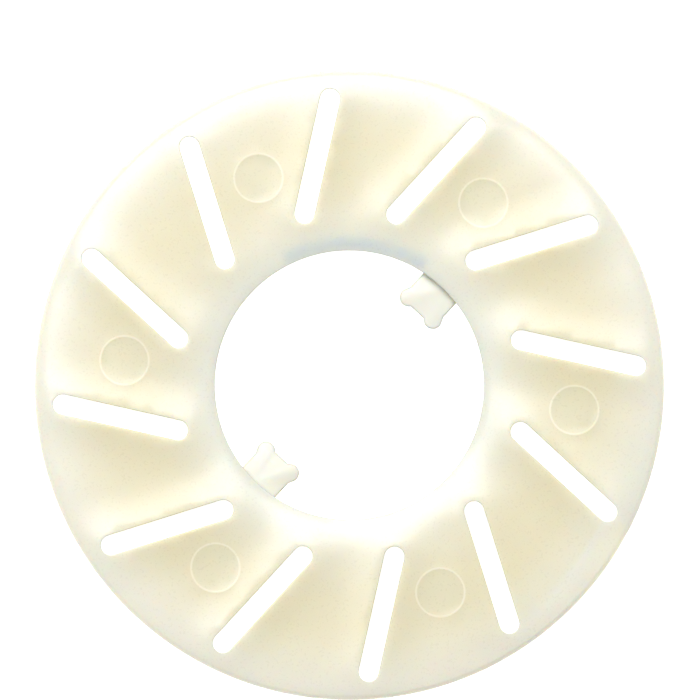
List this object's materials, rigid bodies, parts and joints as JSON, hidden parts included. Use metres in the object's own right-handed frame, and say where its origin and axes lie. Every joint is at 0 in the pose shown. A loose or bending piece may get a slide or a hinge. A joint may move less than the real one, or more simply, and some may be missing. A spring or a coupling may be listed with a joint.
{
  "type": "film developing reel",
  "caption": "Walk-on plastic reel with two slotted spiral flanges on a telescoping hub, for developing roll film in a tank.",
  "frame": {"origin": "centre of the lower flange's outer face, on the reel's axis", "axes": "+Z along the reel's axis from the lower flange to the upper flange; the film entry faces between +X and -Y"},
  "size_m": [0.096, 0.096, 0.0396],
  "materials": {
    "ivory_nylon": "satin, milky and slightly translucent, aged to ivory",
    "white_nylon": "satin, milky and slightly translucent, off-white",
    "bearing_steel": "polished stainless ball"
  },
  "bodies": {
    "lower": {"lower_flange": "ivory_nylon", "outer_sleeve": "white_nylon", "lower_ball_cage": "white_nylon"},
    "core": {"inner_sleeve": "white_nylon", "retaining_ring": "white_nylon"},
    "upper": {"upper_flange": "ivory_nylon", "upper_ball_cage": "white_nylon"},
    "lower_ball": {"lower_ball": "bearing_steel"},
    "upper_ball": {"upper_ball": "bearing_steel"}
  },
  "joints": [
    {"name": "width_slide", "type": "slide", "parent": "lower", "child": "core", "axis": [0, 0, 1], "range_m": [0, 0.0265]},
    {"name": "walk_twist", "type": "hinge", "parent": "core", "child": "upper", "pos_m": [0, 0, 0.0396], "axis": [0, 0, 1], "range_deg": [0, 45]},
    {"name": "lower_ball_roll", "type": "slide", "parent": "lower", "child": "lower_ball", "axis": [-0.0163, 0.9999, 0], "range_m": [0, 0.0031]},
    {"name": "upper_ball_roll", "type": "slide", "parent": "upper", "child": "upper_ball", "axis": [-0.0163, 0.9999, 0], "range_m": [0, 0.0031]}
  ]
}
